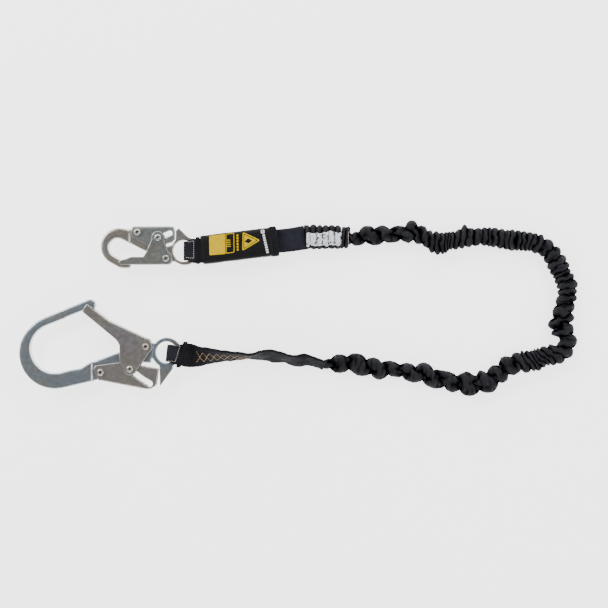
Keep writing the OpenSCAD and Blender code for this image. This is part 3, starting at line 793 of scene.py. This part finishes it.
# Tail strap, in millimetres: place, height, turn in degrees, width
TAIL = [(96, -150.2, 0, 0, 32), (102, -150.8, 0, 4, 33), (114, -151.7, 1, 30, 33),
        (134, -151, 3, 55, 33), (162, -151, 4, 69, 33), (182, -151.5, 4.5, 79, 33),
        (200, -150.5, 4.5, 66, 33), (218, -151.5, 4, 57, 32), (236, -155, 3, 66, 30),
        (250, -158, 2, 56, 28), (262, -157, 1, 50, 27), (276, -160, 0, 60, 24), (289, -165, -1, 50, 20)]


def make_tail():
    """The flat end of the leg: a strap that twists between its two ends, with crosses sewn in gold."""
    route = spline([on_floor(x, y, z) for x, y, z, _, _ in TAIL], 2.0 * MM)
    points = [p for _, p in route]
    heads = tangents(points)
    across, widths = [], []
    for (place, _), head in zip(route, heads):
        i = min(int(place), len(TAIL) - 2)
        t = place - i
        turn = math.radians(TAIL[i][3] * (1 - t) + TAIL[i + 1][3] * t)
        flat = UP.cross(head).normalized()
        across.append(Matrix.Rotation(turn, 3, head) @ flat)
        widths.append((TAIL[i][4] * (1 - t) + TAIL[i + 1][4] * t) * MM)
    strap("tail_webbing", points, across, widths, 4 * MM, "webbing", crumple=1.4 * MM, seed=12.0,
          replaces=("tail_strap",))
    lengths = distances(points)

    def surface(x, y):
        i = int(np.clip(np.searchsorted(lengths, x) - 1, 0, len(points) - 2))
        t = unit((x - lengths[i]) / (lengths[i + 1] - lengths[i]))
        centre = points[i].lerp(points[i + 1], t)
        side = across[i].lerp(across[i + 1], t).normalized()
        head = heads[i].lerp(heads[i + 1], t).normalized()
        normal = head.cross(side)
        if normal.z < 0:
            normal = -normal
        return centre + side * y + normal * 2.3 * MM, normal

    pitch, half = 9.6 * MM, 8.5 * MM
    crosses = [[(14 * MM + k * pitch, a * half), (14 * MM + k * pitch + pitch, -a * half)]
               for k in range(8) for a in (-1, 1)]
    runs = seams(3.0 * MM, *crosses)
    stitches("tail_zigzag", runs, surface, "gold", 0.85 * MM, 0.85)


# ---------- Energy absorber pack ----------

def pack_place():
    """The pack's own frame, from the left end of its CAD box."""
    low = [min(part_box(n)[0][k] for n in ("absorber_cover", "cover_hem")) for k in range(3)]
    high = [max(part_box(n)[1][k] for n in ("absorber_cover", "cover_hem")) for k in range(3)]
    centre = Vector((low[0] + high[0], low[1] + high[1], 0)) / 2
    ahead = Vector((math.cos(PACK_TILT), math.sin(PACK_TILT), 0))
    return strap_frame(centre - ahead * PACK_L / 2, ahead)


def boxy(half_w, half_h, power, sides):
    """Points on a rounded rectangle, as (across, up)."""
    out = []
    for _, c, s in circle(sides, 0.5):
        size = (abs(c) ** power + abs(s) ** power) ** (-1 / power)
        out.append((c * size * half_w, s * size * half_h))
    return out


def pouch(name, place, stations, material, power=7, seed=0.0, **more):
    """A stiff cover lofted through (along, half width, half height) stations."""
    rings, coords = [], []
    ripple = 0.25 * MM
    for x, half_w, half_h in stations:
        ring = []
        for y, z in boxy(half_w, half_h, power, 96):
            lift = 1 + ripple / half_h * wrinkle(x * 60, y * 80, z * 80 + seed)
            ring.append(place(x, y * lift, z * min(lift, 1.0)))
            coords.append((x, y + z, 0))
        rings.append(ring)
    add_piece(name, skin(name, rings, coords), material, **more)


def slab_outline(name, place, outline, z, thick, material, holes=(), **more):
    """A thin print with the given outline, lying at height z."""
    curve = bpy.data.curves.new(name, "CURVE")
    curve.dimensions = "2D"
    curve.fill_mode = "BOTH"
    curve.extrude = thick / 2
    curve.bevel_depth = 0.05 * MM
    for loop in (outline, *holes):
        line = curve.splines.new("POLY")
        line.points.add(len(loop) - 1)
        for point, (x, y) in zip(line.points, loop):
            where = place(x * MM, y * MM)
            point.co = (where.x, where.y, 0, 1)
        line.use_cyclic_u = True
    carrier = new_object(name + "_outline", curve)
    bpy.context.view_layer.update()
    mesh = bpy.data.meshes.new_from_object(carrier)
    bpy.data.objects.remove(carrier)
    mesh.transform(Matrix.Translation((0, 0, z)))
    mesh.name = name
    add_piece(name, mesh, material, **more)
    mesh.shade_flat()


def neighbours(corners):
    """Each corner between the one before it and the one after it."""
    points = [Vector(p) for p in corners]
    return zip(points[-1:] + points[:-1], points, points[1:] + points[:1])


def rounded(corners, radius, steps=5):
    """A polygon whose corners are rounded to a radius, in the corners' own units."""
    out = []
    for a, b, c in neighbours(corners):
        u, v = (a - b).normalized(), (c - b).normalized()
        start, end = b + u * radius, b + v * radius
        for k in range(steps + 1):
            t = k / steps
            out.append(tuple((1 - t) ** 2 * start + 2 * t * (1 - t) * b + t * t * end))
    return out


def inset(corners, amount):
    """The polygon moved inwards by an amount on every side (corners run anticlockwise)."""
    out = []
    for a, b, c in neighbours(corners):
        u, v = (b - a).normalized(), (c - b).normalized()
        n = Vector((-u.y, u.x)) + Vector((-v.y, v.x))
        out.append(tuple(b + n / n.dot(Vector((-u.y, u.x))) * amount))
    return out


def bar(x, y, length, width, turn, radius):
    """A small rectangle with round corners, turned by an angle in degrees."""
    c, s = math.cos(math.radians(turn)), math.sin(math.radians(turn))
    return rounded([(x + a * length / 2 * c - b * width / 2 * s, y + a * length / 2 * s + b * width / 2 * c)
                    for a, b in ((-1, -1), (1, -1), (1, 1), (-1, 1))], radius)


def make_pack():
    place = pack_place()
    half_w, half_h = PACK_W / 2, -FLOOR_Z
    body_l = PACK_L - HEM_L
    tuck = [(7, 0.82, 0.78), (1.2, 0.88, 0.84), (0.3, 0.93, 0.90), (0.5, 0.965, 0.95), (1.6, 0.985, 0.985)]
    stations = [(x * MM, half_w * w, half_h * h) for x, w, h in tuck]
    stations += [(x * MM, half_w, half_h) for x in np.linspace(4, body_l / MM + 2, 40)]
    pouch("pack_cover", place, stations, "cover", replaces=("absorber_cover", "tear_webbing"))
    hem = [(body_l - 0.4 * MM, half_w * 0.99, half_h * 0.99), (body_l, half_w + 0.5 * MM, half_h),
           (body_l + 1.5 * MM, half_w + 1.1 * MM, half_h),
           (PACK_L - 2.5 * MM, half_w + 1.0 * MM, half_h * 0.97),
           (PACK_L - 0.8 * MM, half_w + 0.6 * MM, half_h * 0.92), (PACK_L, half_w * 0.96, half_h * 0.8),
           (PACK_L - 0.6 * MM, half_w * 0.88, half_h * 0.62), (PACK_L - 5 * MM, half_w * 0.84, half_h * 0.5)]
    pouch("pack_hem", place, hem, "webbing", power=6, seed=3.0, replaces=("cover_hem",))
    print_pack(place, half_h + 0.05 * MM)
    return place


def print_pack(place, top):
    """Generic shapes printed on the pack, in millimetres from its left end."""
    def ink(name, outline, paint="yellow", thick=0.4 * MM, lift=0.0, **more):
        slab_outline(name, place, outline, top + lift, thick, paint, **more)

    lean = 84
    panel = [(10.5, -8.6), (32.5, -9.6), (35.4, 18.2), (13.3, 18.2)]
    ink("yellow_panel", rounded(panel, 1.2), replaces=("panel_label",))
    box = [(33.4, -9.4), (45.4, -9.0), (48.4, 18.2), (36.4, 18.2)]
    ink("panel_outline", rounded(box, 2), holes=(rounded(inset(box, 0.9), 1.6),))
    for i in range(4):
        ink(f"panel_bar_{i + 1}", bar(38.4 + 0.1 * i, 0.4 + 2.9 * i, 6.4, 1.0, lean - 90, 0.4))
    for i in range(6):
        ink(f"caption_bar_{i + 1}", bar(50.4 + 0.42 * i, -5.6 + 3.9 * i, 2.8, 2.2, lean, 0.5), thick=0.3 * MM)
    triangle = [(56.4, -8.4), (83.4, 3.6), (60.4, 18.0)]
    ink("warning_triangle", rounded(triangle, 3.2), replaces=("warning_label",))
    ring = inset(triangle, 1.5)
    thin = {"paint": "black_ink", "thick": 0.1 * MM, "lift": 0.25 * MM}
    ink("triangle_line", rounded(ring, 2), holes=(rounded(inset(ring, 0.8), 1.6),), **thin)
    diamond = [(61.0, 4.4), (66.6, 1.0), (72.0, 4.4), (66.6, 8.2)]
    ink("triangle_mark", rounded(diamond, 1), **thin)
    ink("maker_block", bar(88.0, 15.0, 5.0, 5.0, lean, 1.2), "white", 0.3 * MM,
        holes=(bar(88.0, 15.0, 2.6, 1.2, lean, 0.4),))
    for i in range(8):
        ink(f"maker_bar_{i + 1}", bar(88.8 + 0.35 * i, 9.6 - 3.4 * i, 2.4, 3.4, lean, 0.5), "white", 0.3 * MM)


# ---------- Neck, sleeve head and label ----------

# The gathered head: pitch of its gathers, height of its middle, half height and squareness
HEAD_PITCH = 8.6 * MM
HEAD_Z = FLOOR_Z + 10.6 * MM
HEAD_TALL = 10.2 * MM
HEAD_POWER = 2.6


def make_neck(place):
    """The ribbed navy strap from the pack's end into the head."""
    head_low, head_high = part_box("sleeve_head")
    start, end = place(PACK_L - 5 * MM, 0), Vector((head_low.x + 2 * MM, (head_low.y + head_high.y) / 2, 0))
    bend = start.lerp(end, 0.5) + Vector((0, -0.6 * MM, 0))
    path = [p for _, p in spline([start, bend, end], 1.2 * MM)]
    side = [UP.cross(t).normalized() for t in tangents(path)]
    ribs = lambda along, a: 0.28 * MM * math.sin(a / (4.2 * MM) * 2 * math.pi)
    widths = [(33 + 0.9 * (i / len(path)) ** 2) * MM for i in range(len(path))]
    strap("neck_webbing", path, side, widths, 5 * MM, "navy", crumple=0.5 * MM, seed=15.0,
          shift=ribs, replaces=("neck_strap",))


def head_ring(x, low, high, sides):
    """A ring of the gathered head at a place along it: each point and how near it is to a crest."""
    mid_y, half = (low.y + high.y) / 2, (high.y - low.y) / 2
    fade = unit((x - low.x) / (6 * MM))
    tall = HEAD_TALL * (0.42 + 0.58 * fade)
    out = []
    for _, c, s in circle(sides):
        here = (x - low.x) / HEAD_PITCH + 0.28 * wrinkle(c * 1.2, s * 1.2, x * 60)
        dip = abs(math.sin(math.pi * here)) ** 0.5
        deep = (0.20 + 0.05 * c) * fade
        swell = 0.14 * wrinkle(math.floor(here) * 2.7, c, s) * fade
        reach = 1 - deep * (1 - dip) + swell
        size = (abs(c) ** HEAD_POWER + abs(s) ** HEAD_POWER) ** (-1 / HEAD_POWER)
        out.append((Vector((x, mid_y + c * size * half * (1.06 + 0.12 * max(c, 0)) * reach,
                            HEAD_Z + s * size * tall * reach)), dip))
    return out


def make_sleeve_head():
    low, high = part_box("sleeve_head")
    steps, sides = 96, 72
    rings, coords = [], []
    for i in range(steps + 1):
        x = low.x + (high.x - low.x) * i / steps
        ring = head_ring(x, low, high, sides)
        rings.append([p for p, _ in ring])
        # The third value, how near each point is to a crest, sets the painted crease shade.
        coords += [(x, k * 1.4 * MM, dip) for k, (_, dip) in enumerate(ring)]
    add_piece("sleeve_head_gathers", skin("sleeve_head_gathers", rings, coords), "knit",
              replaces=("sleeve_head",))
    make_label(low, high)
    make_band()


def make_label(low, high):
    """The crumpled inspection label, sewn flat on the gathers."""
    x0, x1 = low.x + 3.5 * MM, high.x + 0.4 * MM
    y0, y1 = low.y + 2.6 * MM, low.y + 20.6 * MM
    nx, ny = 74, 30
    mid_y, half, thick = (low.y + high.y) / 2, (high.y - low.y) / 2, 0.45 * MM
    rows, coords = [], []
    for i in range(nx + 1):
        x = x0 + (x1 - x0) * i / nx
        row = []
        for j in range(ny + 1):
            t = j / ny
            edge = 3.2 * MM * wrinkle(x * 190, t * 1.5, 4.0)
            y = y0 + (y1 - y0) * t + edge * (2 * t - 1) + 0.03 * (x - x0)
            phase = (x - low.x) / HEAD_PITCH + 0.16 * wrinkle(y * 110, 2, 1)
            fold = abs(math.sin(math.pi * phase)) ** 0.6
            ridge = 1 - abs(wrinkle(x * 210, y * 260, 8)) * 2.2
            crease = wrinkle(x * 520, y * 480, 2)
            bow = (1 - min(abs(y - mid_y) / half, 0.95) ** HEAD_POWER) ** (1 / HEAD_POWER)
            row.append(Vector((x + 0.6 * MM * crease, y, HEAD_Z + HEAD_TALL * bow - 0.9 * MM
                               + 1.7 * MM * fold + 0.8 * MM * ridge + 0.4 * MM * crease)))
            # The third value is low in the folds and creases; it sets the tag's painted crease shade.
            coords.append((x, y, 0.62 * fold + 0.34 * ridge + 0.55 * crease + 0.04))
        rows.append(row)
    n = ny + 1
    upper = [p for row in rows for p in row]
    lower = [p - UP * thick for p in upper]
    faces = []
    offset = len(upper)
    for i in range(nx):
        for j in range(ny):
            a = i * n + j
            faces.append((a, a + n, a + n + 1, a + 1))
            faces.append((offset + a, offset + a + 1, offset + a + n + 1, offset + a + n))
    rim = [i * n for i in range(nx + 1)] + [nx * n + j for j in range(1, n)]
    rim += [i * n + ny for i in range(nx - 1, -1, -1)] + list(range(ny - 1, 0, -1))
    for a, b in zip(rim, rim[1:] + rim[:1]):
        faces.append((b, a, offset + a, offset + b))
    label = add_piece("inspection_tag", make_mesh("inspection_tag", upper + lower, faces, coords * 2), "tag",
                      replaces=("inspection_label",))
    make_marks(rows)


def make_marks(rows):
    """Generic printed rows on the label: short grey dashes that follow its folds."""
    points, faces = [], []
    for line in range(5):
        j = 4 + line * 5
        i = 3 + line % 2
        while i < len(rows) - 6:
            run = 1 + (i * 7 + line * 5) % 3
            base = len(points)
            for k in range(run + 1):
                p, q = rows[i + k][j], rows[i + k][j + 1]
                points += [p + UP * 0.12 * MM, p.lerp(q, 0.8) + UP * 0.12 * MM]
            for k in range(run):
                a = base + 2 * k
                faces.append((a, a + 2, a + 3, a + 1))
            i += run + 2 + (i + line) % 4
    piece = add_piece("tag_print", make_mesh("tag_print", points, faces), "grey_ink")
    solid = piece.modifiers.new("thickness", "SOLIDIFY")
    solid.thickness = 0.1 * MM


# The cuff that closes the head: height of its middle, half width and half height
CUFF_Z = FLOOR_Z + 10.2 * MM
CUFF_WIDE = 15.6 * MM
CUFF_TALL = 9.4 * MM
CUFF_WAIST = 0.84


def make_band():
    """Elastic band that closes the head, between two puffs of the sleeve."""
    low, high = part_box("sleeve_band")
    mid_y = (low.y + high.y) / 2
    rings, coords = [], []
    steps, sides = 26, 56
    for i in range(steps + 1):
        t = i / steps
        x = low.x - 0.5 * MM + (high.x - low.x + 6 * MM) * t
        puff = CUFF_WAIST + 0.16 * abs(math.sin(math.pi * t * 2)) ** 0.7
        ring = []
        for a, c, s in circle(sides):
            wobble = 1 + 0.05 * wrinkle(c * 2, s * 2, x * 300)
            ring.append(Vector((x + 1.6 * MM * c, mid_y + c * CUFF_WIDE * puff * wobble,
                                CUFF_Z + s * CUFF_TALL * puff * wobble)))
            # The third value is low between the puffs and sets the painted crease shade there.
            coords.append((x, a * 14 * MM, (puff - CUFF_WAIST) / 0.16))
        rings.append(ring)
    add_piece("sleeve_cuff", skin("sleeve_cuff", rings, coords), "knit", replaces=("sleeve_band",))
    arc = [(high.x + 5.2 * MM + 1.5 * MM * math.cos(t), mid_y - 0.3 * MM + 10 * MM * math.sin(t))
           for t in np.linspace(2.2, 4.2, 9)]
    top = FLOOR_Z + 19.9 * MM
    surface = lambda x, y: (Vector((x, y, top - 0.9 * MM * ((y - mid_y) / (8 * MM)) ** 2)), UP)
    stitches("cuff_stitches", seams(2.4 * MM, arc), surface, "thread", 0.8 * MM, 0.8)


# ---------- Hooks ----------

def relaxed(points, edges, weight, passes):
    """Laplacian smoothing, with a weight for each point."""
    count = len(points)
    degree = np.bincount(edges.ravel(), minlength=count).astype(float)
    degree[degree == 0] = 1
    for _ in range(passes):
        pull = np.stack([
            np.bincount(edges[:, 0], points[edges[:, 1], k], count)
            + np.bincount(edges[:, 1], points[edges[:, 0], k], count) for k in range(3)], axis=1)
        points = points + (pull / degree[:, None] - points) * weight[:, None] * 0.6
    return points


def listed(items, what, width, kind=float):
    """One property of every item of a mesh, as rows of numbers."""
    out = np.empty(len(items) * width, dtype=kind)
    items.foreach_get(what, out)
    return out.reshape(-1, width)


def softened(name, node, voxel, passes, weight, material, body, bowl=None):
    """A part with its CAD shape and rounded edges: remeshed, then smoothed where weight says."""
    mesh = frame["nodes"][node].data.copy()
    piece = new_object(name, mesh)
    weld = piece.modifiers.new("weld", "WELD")
    weld.merge_threshold = 0.01 * MM
    remesh = piece.modifiers.new("remesh", "REMESH")
    remesh.mode = "VOXEL"
    remesh.voxel_size = voxel
    bpy.context.view_layer.update()
    ready = bpy.data.meshes.new_from_object(piece.evaluated_get(bpy.context.evaluated_depsgraph_get()))
    bpy.data.objects.remove(piece)
    points = listed(ready.vertices, "co", 3)
    edges = listed(ready.edges, "vertices", 2, np.int64)
    points = relaxed(points, edges, weight(points), passes)
    ready.vertices.foreach_set("co", points.ravel())
    ready.update()
    if bowl:
        paint_rim_highlight(ready, points, *bowl)
    ready.name = name
    add_piece(name, ready, material, body, (node,))


def paint_rim_highlight(mesh, points, centre, reach):
    """Marks the bevel that faces into a hook's bowl, where a highlight is painted on the plate."""
    normals = listed(mesh.vertices, "normal", 3)
    out = points[:, :2] - np.array(centre)
    far = np.hypot(out[:, 0], out[:, 1])
    inward = -(normals[:, :2] * out).sum(axis=1) / np.maximum(far, 1e-6)
    rim = np.clip((inward - 0.2) / 0.4, 0, 1) * np.clip((reach - far) / (6 * MM), 0, 1)
    mesh.attributes.new("rim", "FLOAT", "POINT").data.foreach_set("value", rim.astype(np.float32))


def bent_weight(points):
    """A weight that lets the outer corners of a formed web round over, and keeps the rest crisp."""
    cell = 1.0 * MM
    low = points.min(axis=0)[:2] - 6 * cell
    index = ((points[:, :2] - low) / cell).astype(int)
    web = np.zeros(index.max(axis=0) + 7, dtype=bool)
    middle = np.abs(points[:, 2]) < 3 * MM
    web[index[middle, 0], index[middle, 1]] = True
    for _ in range(3):
        grown = web.copy()
        for axis in (0, 1):
            for step in (-1, 1):
                grown |= np.roll(web, step, axis)
        web = grown
    return np.where(web[index[:, 0], index[:, 1]], 1.0, 0.16)


def ramp_weight(low, high, start, end):
    """A weight that goes from low to high along x."""
    def weight(points):
        t = np.clip((points[:, 0] - start) / (end - start), 0, 1)
        return low + (high - low) * t
    return weight


def rivet(name, node, body):
    """A hollow rivet turned on a lathe, with a rolled head at both ends."""
    low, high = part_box(node)
    centre = (low + high) / 2
    top = high.z - centre.z
    head = (high.x - low.x) / 2
    shaft = (2.5 if "interlock" in node else 3.0) * MM
    seat = top - 2.3 * MM
    half = [(0, top - 1.6 * MM), (shaft * 0.45, top - 1.6 * MM), (shaft * 0.62, top - 1.2 * MM),
            (shaft * 0.72, top - 0.35 * MM), (shaft * 0.90, top), (shaft * 1.15, top - 0.05 * MM),
            (head * 0.80, top - 0.6 * MM), (head * 0.95, top - 1.2 * MM), (head, top - 1.8 * MM),
            (head * 0.97, seat), (shaft * 0.99, seat)]
    profile = half + [(r, -z) for r, z in reversed(half)]
    sides = 40
    rings = [[centre + Vector((r * c, r * s, z)) for _, c, s in circle(sides)]
             for r, z in [(max(r, 0.02 * MM), z) for r, z in profile]]
    mesh = skin(name, rings)
    # Painted shade: the rings of the bore at each end are painted nearly black.
    bore_shade = [1.0 if min(i, len(rings) - 1 - i) < 3 else 0.0 for i in range(len(rings)) for _ in range(sides)]
    mesh.attributes.new("bore_shade", "FLOAT", "POINT").data.foreach_set("value", bore_shade)
    add_piece(name, mesh, "rivet", body, (node,))


# Each hook's bowl: its centre, and how far from it a highlight is painted on the rim
SNAP_BOWL = ((0, 0), 0.032)
REBAR_BOWL = ((-0.088, -0.141), 0.080)


def make_hooks():
    """Forgings, rounder at the bowl than at the shank, then sheet parts, rivets and springs."""
    soft = ramp_weight(0.7, 0.16, 0.012, 0.034)
    softened("snap_forging", "snap_hook_body", 0.75 * MM, 46, soft, "forged_light", "snap_hook", SNAP_BOWL)
    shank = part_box("rebar_hook_body")[0].x + 0.115
    soft = ramp_weight(0.4, 0.14, shank - 10 * MM, shank + 12 * MM)
    softened("rebar_forging", "rebar_hook_body", 0.85 * MM, 46, soft, "forged_blue", "rebar_hook",
             REBAR_BOWL)
    for hook, paint, voxel in (("snap", "sheet_dark", 0.5 * MM), ("rebar", "sheet_grey", 0.55 * MM)):
        softened(f"{hook}_gate_sheet", f"{hook}_gate", voxel, 40, bent_weight, paint, f"{hook}_gate_part")
        softened(f"{hook}_lever_sheet", f"{hook}_lock_lever", voxel, 64, bent_weight, paint,
                 f"{hook}_lever_part")
    for hook in ("snap", "rebar"):
        for part, body in (("gate_rivet", "hook"), ("lever_rivet", "hook"), ("interlock_rivet", "gate_part")):
            rivet(f"{hook}_{part}_turned", f"{hook}_{part}", f"{hook}_{body}")
        for part in ("gate_spring", "lever_spring"):
            node = frame["nodes"][f"{hook}_{part}"]
            node.data.materials.clear()
            node.data.materials.append(MATERIALS["rivet"])


make_camera()
make_leg()
make_harness_end()
make_anchor_end()
make_tail()
make_neck(make_pack())
make_sleeve_head()
make_hooks()
make_studio()
